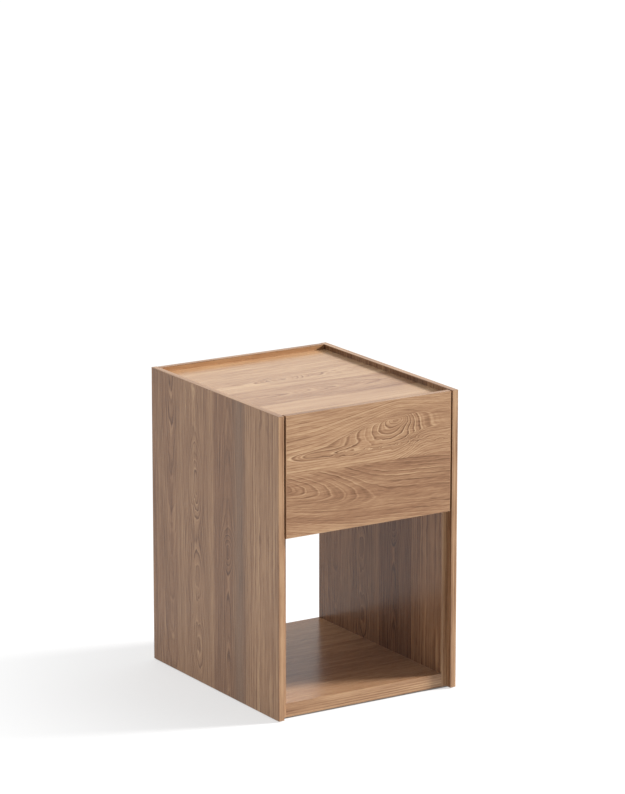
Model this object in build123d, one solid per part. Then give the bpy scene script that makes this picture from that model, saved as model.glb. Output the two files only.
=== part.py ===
"""Bedside cabinet with a tray top, one drawer on ball-bearing slides and an open niche.

Millimetres. X runs to the right, Y to the back, Z up. The origin is on the floor,
under the middle of the cabinet. The drawer opens along -Y.
"""
import os

from build123d import *

# ---- overall size ----
WIDTH = 372.0
DEPTH = 435.0
HEIGHT = 550.0
GLIDE_HEIGHT = 2.0

# ---- boards ----
OUTER_SIDE = 11.5
INNER_SIDE = 11.0
TOP_BOARD = 15.0
FLOOR_BOARD = 25.0
DIVIDER_BOARD = 15.0
FRONT_BOARD = 12.0
BACK_BOARD = 11.0
EDGE_BAND = 1.0
BAND_EASING = 0.6

# ---- how the boards lie ----
TRAY_DEPTH = 9.0
FRONT_SETBACK = 13.0
BACK_INSET = 1.5
FRONT_SIDE_GAP = 3.5
FRONT_TOP_DROP = 0.5
FRONT_BOTTOM = 330.5
DIVIDER_BOTTOM = 345.0
BACK_SIDE_GAP = 0.5

# ---- drawer box ----
BOX_BOARD = 12.0
BOX_BOTTOM_BOARD = 5.0
BOX_HEIGHT = 140.0
BOX_LENGTH = 380.0
BOX_ABOVE_DIVIDER = 8.0
GROOVE_DEPTH = 6.0
GROOVE_CLEARANCE = 0.1
BOTTOM_ABOVE_EDGE = 10.0
BOX_EASING = 2.0
BOTTOM_PLAY = 0.4
BUMPER_RADIUS = 4.0

# ---- drawer slides: u runs from the cabinet side (0) to the drawer side (SLIDE_WIDTH) ----
SLIDE_WIDTH = 12.7
SLIDE_LENGTH = 350.0
SLIDE_START = 2.0
BALL_RADIUS = 2.0
RACE_CLEARANCE = 0.05
RACE_GAP = 3.2
MEMBER_SHEET = 1.2
INTERMEDIATE_SHEET = 1.5
CABINET_HALF_HEIGHT = 22.5
CABINET_FLANGE_END = 10.2
INTERMEDIATE_WEB = 3.2
INTERMEDIATE_FLANGE_END = 10.4
DRAWER_FLANGE_START = 5.8
OUTER_BALL_U = 7.0
INNER_BALL_U = 7.6
CAGE_SHEET = 0.6
OUTER_CAGE_WEB = 1.9
OUTER_CAGE_END = 9.4
INNER_CAGE_WEB = 4.8
INNER_CAGE_END = 10.2
CAGE_HOLE_CLEARANCE = 0.15
CAGE_LENGTH = 130.0
CAGE_CENTRE = -27.5
BALLS_IN_ROW = 8
BALL_PITCH = 16.0

# ---- fastenings ----
BORE_CLEARANCE = 0.05
BORE_SPARE = 0.3
BORE_OVERRUN = 1.0
CAM_RADIUS = 7.5
CAM_DEPTH = 12.0
CAM_REACH = 34.0
CAM_BOLT_STUB = 3.5
CAM_BOLT_SHANK = 2.5
CAM_BOLT_THREAD = 9.5
CAM_BOLT_COLLAR = 2.0
CAM_BOLT_NECK = 29.0
CAM_BOLT_HEAD = 31.0
CAM_HEAD_BORE = 3.9
CAM_MOUTH_PAST_AXIS = 3.0
CAM_RECESS_DEPTH = 1.8
CAM_RECESS_REACH = 4.0
FLOOR_BOLT_HEIGHT = 7.5
PANEL_END_BORE = 4.0
DOWEL_RADIUS = 4.0
DOWEL_IN_SIDE = 9.5
DOWEL_IN_BOARD = 20.0
DOWEL_CHAMFER = 0.2
SLIM_DOWEL_RADIUS = 3.0
TOP_DOWEL_BELOW = 20.0
TOP_DOWEL_ABOVE = 10.0
BOX_DOWEL_IN_SIDE = 9.0
BOX_DOWEL_IN_BOARD = 15.0
RECESS_WIDTH = 1.1
SCREW_POINT = 0.3
PAN_CROWN = 0.7
PAN_RECESS_DEPTH = 0.8
PAN_RECESS_REACH = 0.9
FRONT_SCREW_RADIUS = 2.0
FRONT_SCREW_BITE = 8.0
FRONT_SCREW_HEAD = 3.8
FRONT_SCREW_HEAD_HEIGHT = 2.2
SLIDE_SCREW_LENGTH = 11.0
SLIDE_SCREW_RADIUS = 1.75
CABINET_SCREW_HEAD = 3.4
DRAWER_SCREW_HEAD = 3.2
DRAWER_SCREW_HEAD_HEIGHT = 1.9
DRAWER_SCREW_BITE = 10.0
BACK_SCREW = dict(inward=(0, -1, 0), length=35.0, radius=2.0, head_radius=4.0)
CAP_RADIUS = 6.0
CAP_HEIGHT = 1.2
CAP_EASING = 0.8
GLIDE_RADIUS = 9.0
GLIDE_CHAMFER = 0.5
GLIDE_POCKET_RADIUS = 2.4
NAIL_HEAD_START = 0.3
NAIL_HEAD_END = 0.8
NAIL_HEAD_RADIUS = 2.2
NAIL_RADIUS = 1.0
NAIL_END = 15.0

# ---- planes worked out from the sizes above ----
FRONT = -DEPTH / 2
BACK = DEPTH / 2
OUTER_FACE = WIDTH / 2
OUTER_INSIDE = OUTER_FACE - OUTER_SIDE
INNER_FACE = OUTER_INSIDE - INNER_SIDE
CARCASS_FRONT = FRONT + FRONT_SETBACK
BACK_OUTSIDE = BACK - BACK_INSET
BACK_INSIDE = BACK_OUTSIDE - BACK_BOARD
BODY_BOTTOM = GLIDE_HEIGHT
TRAY_FLOOR = HEIGHT - TRAY_DEPTH
TOP_UNDERSIDE = TRAY_FLOOR - TOP_BOARD
NICHE_FLOOR = BODY_BOTTOM + FLOOR_BOARD
DIVIDER_TOP = DIVIDER_BOTTOM + DIVIDER_BOARD
FRONT_TOP = HEIGHT - FRONT_TOP_DROP
FRONT_HALF = OUTER_INSIDE - FRONT_SIDE_GAP
FRONT_INSIDE = FRONT + FRONT_BOARD
BOX_OUTSIDE = INNER_FACE - SLIDE_WIDTH
BOX_INSIDE = BOX_OUTSIDE - BOX_BOARD
BOX_START = FRONT_INSIDE
BOX_END = BOX_START + BOX_LENGTH
BOX_BOTTOM = DIVIDER_TOP + BOX_ABOVE_DIVIDER
BOX_TOP = BOX_BOTTOM + BOX_HEIGHT
SLIDE_Z = BOX_BOTTOM + BOX_HEIGHT / 2
SLIDE_FRONT = CARCASS_FRONT + SLIDE_START
SLIDE_BACK = SLIDE_FRONT + SLIDE_LENGTH
OUTER_BALL_V = CABINET_HALF_HEIGHT - MEMBER_SHEET - RACE_GAP / 2
INTERMEDIATE_HALF_HEIGHT = OUTER_BALL_V - RACE_GAP / 2
INNER_BALL_V = INTERMEDIATE_HALF_HEIGHT - INTERMEDIATE_SHEET - RACE_GAP / 2
DRAWER_MEMBER_HALF_HEIGHT = INNER_BALL_V - RACE_GAP / 2

SIDES = {"left": -1, "right": 1}

# Places of the fastenings, chosen by hand.
CAM_ROWS = (-150.0, 150.0)
DOWEL_ROWS = (-110.0, 110.0)
TOP_DOWEL_ROWS = (-150.0, 0.0, 150.0)
BACK_SCREW_COLUMNS = (-120.0, 0.0, 120.0)
CABINET_SCREW_ROWS = (-170.0, -20.0, 115.0)
DRAWER_SCREW_ROWS = (-180.0, -10.0, 125.0)
FRONT_SCREW_COLUMNS = (-95.0, 95.0)
FRONT_SCREW_HEIGHTS = (BOX_BOTTOM + 32.0, BOX_TOP - 32.0)
BOX_DOWEL_HEIGHTS = (BOX_BOTTOM + 35.0, BOX_TOP - 35.0)
BUMPER_HEIGHTS = (DIVIDER_TOP + 12.0, TOP_UNDERSIDE - 14.0)
GLIDE_ROWS = (-182.0, 182.0)


# ---- building blocks ----

def block(x_span, y_span, z_span):
    """A rectangular block between pairs of coordinates, given in either order."""
    spans = [sorted(span) for span in (x_span, y_span, z_span)]
    centre = [(low + high) / 2 for low, high in spans]
    size = [high - low for low, high in spans]
    return Pos(*centre) * Box(*size)


def rod(start, end, radius):
    """A round rod from one point to another."""
    along = Vector(*end) - Vector(*start)
    base = Plane(origin=start, z_dir=along)
    bottom = (Align.CENTER, Align.CENTER, Align.MIN)
    return base * Cylinder(radius, along.length, align=bottom)


def taper(start, end, start_radius, end_radius):
    """A round taper from one point to another."""
    along = Vector(*end) - Vector(*start)
    base = Plane(origin=start, z_dir=along)
    bottom = (Align.CENTER, Align.CENTER, Align.MIN)
    return base * Cone(start_radius, end_radius, along.length, align=bottom)


def eased(board, across, outward, long_axis):
    """Round the two long arrises on a board's outward face."""
    long_edges = board.edges().filter_by(long_axis).group_by(across)
    outer_edges = long_edges[-1] if outward > 0 else long_edges[0]
    return fillet(outer_edges, BAND_EASING)


def group(solids):
    """Several separate solids that share one node."""
    return Compound(children=list(solids))


def point_on(origin, direction, distance):
    """The point at a distance from an origin along a unit direction."""
    return tuple(o + d * distance for o, d in zip(origin, direction))


def cross_recess(face_point, inward, depth, reach):
    """The cross-shaped driver recess in a screw's head."""
    axis = Plane(origin=face_point, z_dir=inward)
    bottom = (Align.CENTER, Align.CENTER, Align.MIN)
    slot = Box(2 * reach, RECESS_WIDTH, depth, align=bottom)
    return axis * (slot + Rot(0, 0, 90) * slot)


def countersunk_screw(face_point, inward, length, radius, head_radius):
    """A countersunk screw whose head is flush with face_point."""
    head_depth = head_radius - radius
    neck = point_on(face_point, inward, head_depth)
    tip = point_on(face_point, inward, length)
    tip_start = point_on(face_point, inward, length - radius)
    head = taper(face_point, neck, head_radius, radius)
    shank = rod(neck, tip_start, radius)
    point = taper(tip_start, tip, radius, radius * SCREW_POINT)
    return head + shank + point - cross_recess(face_point, inward, head_depth, radius)


def countersunk_bore(face_point, inward, length, radius, head_radius):
    """The room that a countersunk screw takes in the boards it holds."""
    wide = head_radius + BORE_CLEARANCE
    slim = radius + BORE_CLEARANCE
    neck = point_on(face_point, inward, wide - slim)
    end = point_on(face_point, inward, length + BORE_CLEARANCE)
    return taper(face_point, neck, wide, slim) + rod(neck, end, slim)


def pan_screw(face_point, inward, length, radius, head_radius, head_height):
    """A pan-head screw whose head stands on face_point."""
    top = point_on(face_point, inward, -head_height)
    shoulder = point_on(face_point, inward, -head_height / 2)
    tip = point_on(face_point, inward, length)
    tip_start = point_on(face_point, inward, length - radius)
    crown = taper(top, shoulder, head_radius * PAN_CROWN, head_radius)
    rim = rod(shoulder, face_point, head_radius)
    shank = rod(face_point, tip_start, radius)
    point = taper(tip_start, tip, radius, radius * SCREW_POINT)
    recess = cross_recess(top, inward, head_height * PAN_RECESS_DEPTH, radius * PAN_RECESS_REACH)
    return crown + rim + shank + point - recess


def dowel(start, end, radius):
    """A wooden dowel with chamfered ends."""
    pin = rod(start, end, radius)
    return chamfer(pin.edges().filter_by(GeomType.CIRCLE), radius * DOWEL_CHAMFER)


# ---- knock-down fittings ----

def cam_axes():
    """Each cam joint: side, row, height of the bolt, face the cam goes in by, and inward direction."""
    floor_bolt = (BODY_BOTTOM + FLOOR_BOLT_HEIGHT, BODY_BOTTOM, 1)
    divider_bolt = (DIVIDER_BOTTOM + DIVIDER_BOARD / 2, DIVIDER_TOP, -1)
    joints = []
    for side in SIDES.values():
        for row in CAM_ROWS:
            for bolt_z, face_z, inward in (floor_bolt, divider_bolt):
                joints.append((side, row, bolt_z, face_z, inward))
    return joints


def cam_board_bore(joint):
    """The cam's pocket and the end bore that its bolt comes in by."""
    side, row, bolt_z, face_z, inward = joint
    centre_x = side * (INNER_FACE - CAM_REACH)
    pocket_end = face_z + inward * (CAM_DEPTH + BORE_CLEARANCE)
    pocket = rod((centre_x, row, face_z), (centre_x, row, pocket_end), CAM_RADIUS + BORE_CLEARANCE)
    entry = rod((side * INNER_FACE, row, bolt_z), (centre_x, row, bolt_z), PANEL_END_BORE)
    return pocket + entry


def cam_side_bore(joint):
    """The hole in the inner side layer that the cam bolt screws into."""
    side, row, bolt_z = joint[:3]
    start = (side * INNER_FACE, row, bolt_z)
    end = (side * (INNER_FACE + CAM_BOLT_THREAD + BORE_CLEARANCE), row, bolt_z)
    return rod(start, end, CAM_BOLT_STUB + BORE_CLEARANCE)


def cam_housing(joint):
    """The round cam, bored for the bolt's head, with a driver recess."""
    side, row, bolt_z, face_z, inward = joint
    centre_x = side * (INNER_FACE - CAM_REACH)
    body = rod((centre_x, row, face_z), (centre_x, row, face_z + inward * CAM_DEPTH), CAM_RADIUS)
    mouth_start = (centre_x + side * (CAM_RADIUS + BORE_OVERRUN), row, bolt_z)
    mouth_end = (centre_x - side * CAM_MOUTH_PAST_AXIS, row, bolt_z)
    mouth = rod(mouth_start, mouth_end, CAM_HEAD_BORE)
    recess = cross_recess((centre_x, row, face_z), (0, 0, inward), CAM_RECESS_DEPTH, CAM_RECESS_REACH)
    return body - mouth - recess


def cam_bolt(joint):
    """The bolt between the inner side layer and the cam: thread, collar, shank and head."""
    side, row, bolt_z = joint[:3]

    def at(inset):
        return (side * (INNER_FACE - inset), row, bolt_z)

    thread = rod(at(-CAM_BOLT_THREAD), at(0), CAM_BOLT_STUB)
    collar = rod(at(0), at(CAM_BOLT_COLLAR), CAM_BOLT_STUB)
    shank = rod(at(CAM_BOLT_COLLAR), at(CAM_BOLT_NECK), CAM_BOLT_SHANK)
    head = taper(at(CAM_BOLT_NECK), at(CAM_BOLT_HEAD), CAM_BOLT_SHANK, CAM_BOLT_STUB)
    tip = rod(at(CAM_BOLT_HEAD), at(CAM_REACH), CAM_BOLT_STUB)
    return thread + collar + shank + head + tip


def level_dowel_lines():
    """Both ends of each dowel that joins the niche floor or the divider to a side."""
    lines = []
    for side in SIDES.values():
        for row in DOWEL_ROWS:
            for height in (BODY_BOTTOM + FLOOR_BOARD / 2, DIVIDER_BOTTOM + DIVIDER_BOARD / 2):
                outer = (side * (INNER_FACE + DOWEL_IN_SIDE), row, height)
                inner = (side * (INNER_FACE - DOWEL_IN_BOARD), row, height)
                lines.append((outer, inner))
    return lines


def upright_dowel_lines():
    """Both ends of each dowel that stands in an inner side's top end."""
    middle = INNER_FACE + INNER_SIDE / 2
    lines = []
    for side in SIDES.values():
        for row in TOP_DOWEL_ROWS:
            low = (side * middle, row, TOP_UNDERSIDE - TOP_DOWEL_BELOW)
            high = (side * middle, row, TOP_UNDERSIDE + TOP_DOWEL_ABOVE)
            lines.append((low, high))
    return lines


def dowel_bore(line, radius):
    """The bore round a dowel, a little longer than it at both ends."""
    start, end = line
    direction = (Vector(*end) - Vector(*start)).normalized()
    spare = direction * BORE_SPARE
    return rod(tuple(Vector(*start) - spare), tuple(Vector(*end) + spare), radius + BORE_CLEARANCE)


def back_screw_places():
    """Points on the back panel's outside where its screws go in."""
    heights = (TOP_UNDERSIDE + TOP_BOARD / 2, DIVIDER_BOTTOM + DIVIDER_BOARD / 2)
    return [(column, BACK_OUTSIDE, height) for height in heights for column in BACK_SCREW_COLUMNS]


# ---- carcass ----

def outer_side(side):
    """A full-height outer side panel, without its edge bands."""
    x_span = (side * OUTER_INSIDE, side * OUTER_FACE)
    y_span = (FRONT + EDGE_BAND, BACK - EDGE_BAND)
    return block(x_span, y_span, (BODY_BOTTOM, HEIGHT - EDGE_BAND))


def outer_side_bands(side):
    """The front, top and back edge bands of an outer side panel."""
    x_span = (side * OUTER_INSIDE, side * OUTER_FACE)
    upright = (BODY_BOTTOM, HEIGHT - EDGE_BAND)
    front = block(x_span, (FRONT, FRONT + EDGE_BAND), upright)
    back = block(x_span, (BACK - EDGE_BAND, BACK), upright)
    top = block(x_span, (FRONT, BACK), (HEIGHT - EDGE_BAND, HEIGHT))
    return {
        "front_band": eased(front, Axis.Y, -1, Axis.Z),
        "back_band": eased(back, Axis.Y, 1, Axis.Z),
        "top_band": eased(top, Axis.Z, 1, Axis.Y),
    }


def inner_side(side):
    """An inner side layer, bored for cam bolts, dowels and the slide's screws."""
    x_span = (side * INNER_FACE, side * OUTER_INSIDE)
    y_span = (CARCASS_FRONT + EDGE_BAND, BACK_INSIDE - EDGE_BAND)
    board = block(x_span, y_span, (BODY_BOTTOM, TOP_UNDERSIDE))
    for joint in cam_axes():
        if joint[0] == side:
            board -= cam_side_bore(joint)
    for line in level_dowel_lines():
        if line[0][0] * side > 0:
            board -= dowel_bore(line, DOWEL_RADIUS)
    for line in upright_dowel_lines():
        if line[0][0] * side > 0:
            board -= dowel_bore(line, SLIM_DOWEL_RADIUS)
    for row in CABINET_SCREW_ROWS:
        board -= cabinet_screw(side, row, countersunk_bore)
    for row in GLIDE_ROWS:
        board -= glide_nail_shank(side, row, BORE_CLEARANCE)
    return board


def inner_side_bands(side):
    """The front and back edge bands of an inner side layer."""
    x_span = (side * INNER_FACE, side * OUTER_INSIDE)
    z_span = (BODY_BOTTOM, TOP_UNDERSIDE)
    front = block(x_span, (CARCASS_FRONT, CARCASS_FRONT + EDGE_BAND), z_span)
    back = block(x_span, (BACK_INSIDE - EDGE_BAND, BACK_INSIDE), z_span)
    return {"front_band": front, "back_band": back}


def top_panel():
    """The tray's floor, lying on the inner sides between the outer ones."""
    y_span = (CARCASS_FRONT + EDGE_BAND, BACK_INSIDE)
    board = block((-OUTER_INSIDE, OUTER_INSIDE), y_span, (TOP_UNDERSIDE, TRAY_FLOOR))
    for line in upright_dowel_lines():
        board -= dowel_bore(line, SLIM_DOWEL_RADIUS)
    return board - back_screw_bores()


def back_screw_bores():
    """The bores that the back panel's screws take, all together."""
    bores = [countersunk_bore(place, **BACK_SCREW) for place in back_screw_places()]
    return Part() + bores


def level_board(bottom, top, back_end):
    """A level board between the inner sides, bored for its cams and dowels."""
    board = block((-INNER_FACE, INNER_FACE), (CARCASS_FRONT + EDGE_BAND, back_end), (bottom, top))
    for joint in cam_axes():
        if bottom <= joint[2] <= top:
            board -= cam_board_bore(joint)
    for line in level_dowel_lines():
        if bottom <= line[0][2] <= top:
            board -= dowel_bore(line, DOWEL_RADIUS)
    return board


def cross_band(half_width, y_span, z_span, outward):
    """An edge band that runs from side to side on a front or back edge."""
    band = block((-half_width, half_width), y_span, z_span)
    return eased(band, Axis.Y, outward, Axis.X)


def back_panel():
    """The panel behind the drawer space, whose top is the tray's rear rim."""
    half = OUTER_INSIDE - BACK_SIDE_GAP
    z_span = (DIVIDER_BOTTOM + EDGE_BAND, HEIGHT - EDGE_BAND)
    board = block((-half, half), (BACK_INSIDE, BACK_OUTSIDE), z_span)
    return board - back_screw_bores()


def back_panel_bands():
    """The top and bottom edge bands of the back panel."""
    half = OUTER_INSIDE - BACK_SIDE_GAP
    y_span = (BACK_INSIDE, BACK_OUTSIDE)
    top = block((-half, half), y_span, (HEIGHT - EDGE_BAND, HEIGHT))
    bottom = block((-half, half), y_span, (DIVIDER_BOTTOM, DIVIDER_BOTTOM + EDGE_BAND))
    return {
        "back_panel_top_band": eased(top, Axis.Z, 1, Axis.X),
        "back_panel_bottom_band": eased(bottom, Axis.Z, -1, Axis.X),
    }


def back_screw_cap(place):
    """A thin domed cap over a back panel screw."""
    cap = rod(place, point_on(place, (0, 1, 0), CAP_HEIGHT), CAP_RADIUS)
    rim = cap.edges().filter_by(GeomType.CIRCLE).sort_by(Axis.Y)[-1]
    return fillet(rim, CAP_EASING)


def glide(side, row):
    """A round floor glide under a side panel."""
    x = side * (INNER_FACE + INNER_SIDE / 2)
    foot = rod((x, row, 0), (x, row, GLIDE_HEIGHT), GLIDE_RADIUS)
    foot = chamfer(foot.edges().filter_by(GeomType.CIRCLE).sort_by(Axis.Z)[0], GLIDE_CHAMFER)
    pocket = rod((x, row, 0), (x, row, NAIL_HEAD_END), GLIDE_POCKET_RADIUS)
    return foot - pocket - glide_nail_shank(side, row, BORE_CLEARANCE)


def glide_nail_shank(side, row, clearance):
    """The shank of a glide's nail, or with a clearance, its hole."""
    x = side * (INNER_FACE + INNER_SIDE / 2)
    return rod((x, row, NAIL_HEAD_END), (x, row, NAIL_END + clearance), NAIL_RADIUS + clearance)


def glide_nail(side, row):
    """A glide's nail, with its head sunk in the glide."""
    x = side * (INNER_FACE + INNER_SIDE / 2)
    head = rod((x, row, NAIL_HEAD_START), (x, row, NAIL_HEAD_END), NAIL_HEAD_RADIUS)
    return head + glide_nail_shank(side, row, 0.0)


# ---- slides ----

def slide_block(side, u_span, y_span, v_span):
    """A block in a slide's own directions: u away from the cabinet side, v up from its middle."""
    x_span = tuple(side * (INNER_FACE - u) for u in u_span)
    z_span = tuple(SLIDE_Z + v for v in v_span)
    return block(x_span, y_span, z_span)


def slide_rod(side, u, v, y_span, radius):
    """A rod along a slide, for its ball races."""
    x = side * (INNER_FACE - u)
    z = SLIDE_Z + v
    return rod((x, y_span[0], z), (x, y_span[1], z), radius)


def races(side, u, v, y_span):
    """The two ball races at one distance above and below the middle."""
    radius = BALL_RADIUS + RACE_CLEARANCE
    return slide_rod(side, u, v, y_span, radius) + slide_rod(side, u, -v, y_span, radius)


def channel(side, web_span, flange_span, half_height, sheet, y_span):
    """A C-shaped member: a web and two flanges of one sheet thickness."""
    web = slide_block(side, web_span, y_span, (-half_height, half_height))
    upper = slide_block(side, flange_span, y_span, (half_height - sheet, half_height))
    lower = slide_block(side, flange_span, y_span, (-half_height, sheet - half_height))
    return web + upper + lower


def cabinet_screw(side, row, make):
    """A countersunk screw, or its bore, through the cabinet member's web."""
    face = (side * (INNER_FACE - MEMBER_SHEET), row, SLIDE_Z)
    return make(face, (side, 0, 0), SLIDE_SCREW_LENGTH, SLIDE_SCREW_RADIUS, CABINET_SCREW_HEAD)


def drawer_member_screw(side, row):
    """A pan-head screw from inside the drawer member into the box side."""
    face = (side * (BOX_OUTSIDE + MEMBER_SHEET), row, SLIDE_Z)
    head = (DRAWER_SCREW_HEAD, DRAWER_SCREW_HEAD_HEIGHT)
    return pan_screw(face, (-side, 0, 0), SLIDE_SCREW_LENGTH, SLIDE_SCREW_RADIUS, *head)


def drawer_member_bore(side, row):
    """The hole that a drawer member screw takes."""
    start = (side * (BOX_OUTSIDE + MEMBER_SHEET), row, SLIDE_Z)
    end = (side * (BOX_OUTSIDE - DRAWER_SCREW_BITE), row, SLIDE_Z)
    return rod(start, end, SLIDE_SCREW_RADIUS + BORE_CLEARANCE)


def cabinet_member(side):
    """The slide member screwed to the cabinet side."""
    y_span = (SLIDE_FRONT, SLIDE_BACK)
    web_span = (0, MEMBER_SHEET)
    flange_span = (0, CABINET_FLANGE_END)
    member = channel(side, web_span, flange_span, CABINET_HALF_HEIGHT, MEMBER_SHEET, y_span)
    member -= races(side, OUTER_BALL_U, OUTER_BALL_V, y_span)
    for row in CABINET_SCREW_ROWS:
        member -= cabinet_screw(side, row, countersunk_bore)
    return member


def intermediate_member(side):
    """The member between the other two, with races inside and outside."""
    y_span = (SLIDE_FRONT, SLIDE_BACK)
    web_span = (INTERMEDIATE_WEB, INTERMEDIATE_WEB + MEMBER_SHEET)
    flange_span = (INTERMEDIATE_WEB, INTERMEDIATE_FLANGE_END)
    member = channel(side, web_span, flange_span, INTERMEDIATE_HALF_HEIGHT, INTERMEDIATE_SHEET, y_span)
    member -= races(side, OUTER_BALL_U, OUTER_BALL_V, y_span)
    return member - races(side, INNER_BALL_U, INNER_BALL_V, y_span)


def drawer_member(side):
    """The slide member screwed to the drawer box."""
    y_span = (SLIDE_FRONT, SLIDE_BACK)
    web_span = (SLIDE_WIDTH - MEMBER_SHEET, SLIDE_WIDTH)
    flange_span = (DRAWER_FLANGE_START, SLIDE_WIDTH)
    member = channel(side, web_span, flange_span, DRAWER_MEMBER_HALF_HEIGHT, MEMBER_SHEET, y_span)
    member -= races(side, INNER_BALL_U, INNER_BALL_V, y_span)
    for row in DRAWER_SCREW_ROWS:
        member -= drawer_member_bore(side, row)
    return member


def ball_places(side, u, v):
    """Centres of the balls in the upper and lower row of one cage."""
    x = side * (INNER_FACE - u)
    first = CAGE_CENTRE - BALL_PITCH * (BALLS_IN_ROW - 1) / 2
    rows = [first + BALL_PITCH * index for index in range(BALLS_IN_ROW)]
    return [(x, row, SLIDE_Z + height) for height in (-v, v) for row in rows]


def ball_cage(side, u, v, web_start, strip_end):
    """A bent strip that holds one set of balls apart."""
    y_span = (CAGE_CENTRE - CAGE_LENGTH / 2, CAGE_CENTRE + CAGE_LENGTH / 2)
    half_height = v + CAGE_SHEET / 2
    web_span = (web_start, web_start + CAGE_SHEET)
    cage = channel(side, web_span, (web_start, strip_end), half_height, CAGE_SHEET, y_span)
    hole = Cylinder(BALL_RADIUS + CAGE_HOLE_CLEARANCE, 4 * CAGE_SHEET)
    for place in ball_places(side, u, v):
        cage -= Pos(*place) * hole
    return cage


def balls(side, u, v):
    """All the balls of one cage."""
    return group(Pos(*place) * Sphere(BALL_RADIUS) for place in ball_places(side, u, v))


# ---- drawer ----

def drawer_front():
    """The drawer front without its edge bands, bored for its screws."""
    x_half = FRONT_HALF - EDGE_BAND
    z_span = (FRONT_BOTTOM + EDGE_BAND, FRONT_TOP - EDGE_BAND)
    return block((-x_half, x_half), (FRONT, FRONT_INSIDE), z_span) - front_screw_bores()


def drawer_front_bands():
    """The four edge bands of the drawer front."""
    y_span = (FRONT, FRONT_INSIDE)
    z_inner = (FRONT_BOTTOM + EDGE_BAND, FRONT_TOP - EDGE_BAND)
    bands = {}
    for name, z_edge, outward in (("top", FRONT_TOP, 1), ("bottom", FRONT_BOTTOM, -1)):
        band = block((-FRONT_HALF, FRONT_HALF), y_span, (z_edge, z_edge - outward * EDGE_BAND))
        bands[name] = eased(band, Axis.Z, outward, Axis.X)
    for name, side in SIDES.items():
        band = block((side * FRONT_HALF, side * (FRONT_HALF - EDGE_BAND)), y_span, z_inner)
        bands[name] = eased(band, Axis.X, side, Axis.Z)
    return bands


def front_screw_places():
    """Points on the box front's inside where its screws go in."""
    inside = BOX_START + BOX_BOARD
    return [(column, inside, height) for column in FRONT_SCREW_COLUMNS for height in FRONT_SCREW_HEIGHTS]


def front_screw_bores():
    """The holes that the drawer front's screws take."""
    bores = []
    for place in front_screw_places():
        end = point_on(place, (0, -1, 0), BOX_BOARD + FRONT_SCREW_BITE + BORE_CLEARANCE)
        bores.append(rod(place, end, FRONT_SCREW_RADIUS + BORE_CLEARANCE))
    return Part() + bores


def front_screw(place):
    """A pan-head screw from inside the box into the drawer front."""
    head = (FRONT_SCREW_HEAD, FRONT_SCREW_HEAD_HEIGHT)
    return pan_screw(place, (0, -1, 0), BOX_BOARD + FRONT_SCREW_BITE, FRONT_SCREW_RADIUS, *head)


def box_dowel_lines():
    """Both ends of each dowel at the drawer box's corners."""
    lines = []
    for side in SIDES.values():
        for row in (BOX_START + BOX_BOARD / 2, BOX_END - BOX_BOARD / 2):
            for height in BOX_DOWEL_HEIGHTS:
                outer = (side * (BOX_INSIDE + BOX_DOWEL_IN_SIDE), row, height)
                inner = (side * (BOX_INSIDE - BOX_DOWEL_IN_BOARD), row, height)
                lines.append((outer, inner))
    return lines


def bottom_groove():
    """The groove round the inside of the drawer box for its bottom."""
    reach = BOX_INSIDE + GROOVE_DEPTH
    y_span = (BOX_START + BOX_BOARD - GROOVE_DEPTH, BOX_END - BOX_BOARD + GROOVE_DEPTH)
    low = BOX_BOTTOM + BOTTOM_ABOVE_EDGE
    z_span = (low - GROOVE_CLEARANCE, low + BOX_BOTTOM_BOARD + GROOVE_CLEARANCE)
    return block((-reach, reach), y_span, z_span)


def box_side(side):
    """A side of the drawer box."""
    board = block((side * BOX_INSIDE, side * BOX_OUTSIDE), (BOX_START, BOX_END), (BOX_BOTTOM, BOX_TOP))
    top_edges = board.edges().filter_by(Axis.Y).group_by(Axis.Z)[-1]
    board = fillet(top_edges, BOX_EASING) - bottom_groove()
    for line in box_dowel_lines():
        if line[0][0] * side > 0:
            board -= dowel_bore(line, SLIM_DOWEL_RADIUS)
    for row in DRAWER_SCREW_ROWS:
        board -= drawer_member_bore(side, row)
    return board


def box_cross_board(y_start):
    """The front or back board of the drawer box, between its sides."""
    board = block((-BOX_INSIDE, BOX_INSIDE), (y_start, y_start + BOX_BOARD), (BOX_BOTTOM, BOX_TOP))
    top_edges = board.edges().filter_by(Axis.X).group_by(Axis.Z)[-1]
    board = fillet(top_edges, BOX_EASING) - bottom_groove()
    for line in box_dowel_lines():
        if y_start < line[0][1] < y_start + BOX_BOARD:
            board -= dowel_bore(line, SLIM_DOWEL_RADIUS)
    return board


def box_bottom():
    """The drawer's bottom, which lies in the groove."""
    reach = BOX_INSIDE + GROOVE_DEPTH - BOTTOM_PLAY
    inset = BOX_BOARD - GROOVE_DEPTH + BOTTOM_PLAY
    y_span = (BOX_START + inset, BOX_END - inset)
    low = BOX_BOTTOM + BOTTOM_ABOVE_EDGE
    return block((-reach, reach), y_span, (low, low + BOX_BOTTOM_BOARD))


def drawer_bumper(side, height):
    """A soft pad between the drawer front and the carcass."""
    x = side * (INNER_FACE + INNER_SIDE / 2)
    return rod((x, FRONT_INSIDE, height), (x, CARCASS_FRONT, height), BUMPER_RADIUS)


# ---- nodes ----

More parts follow.
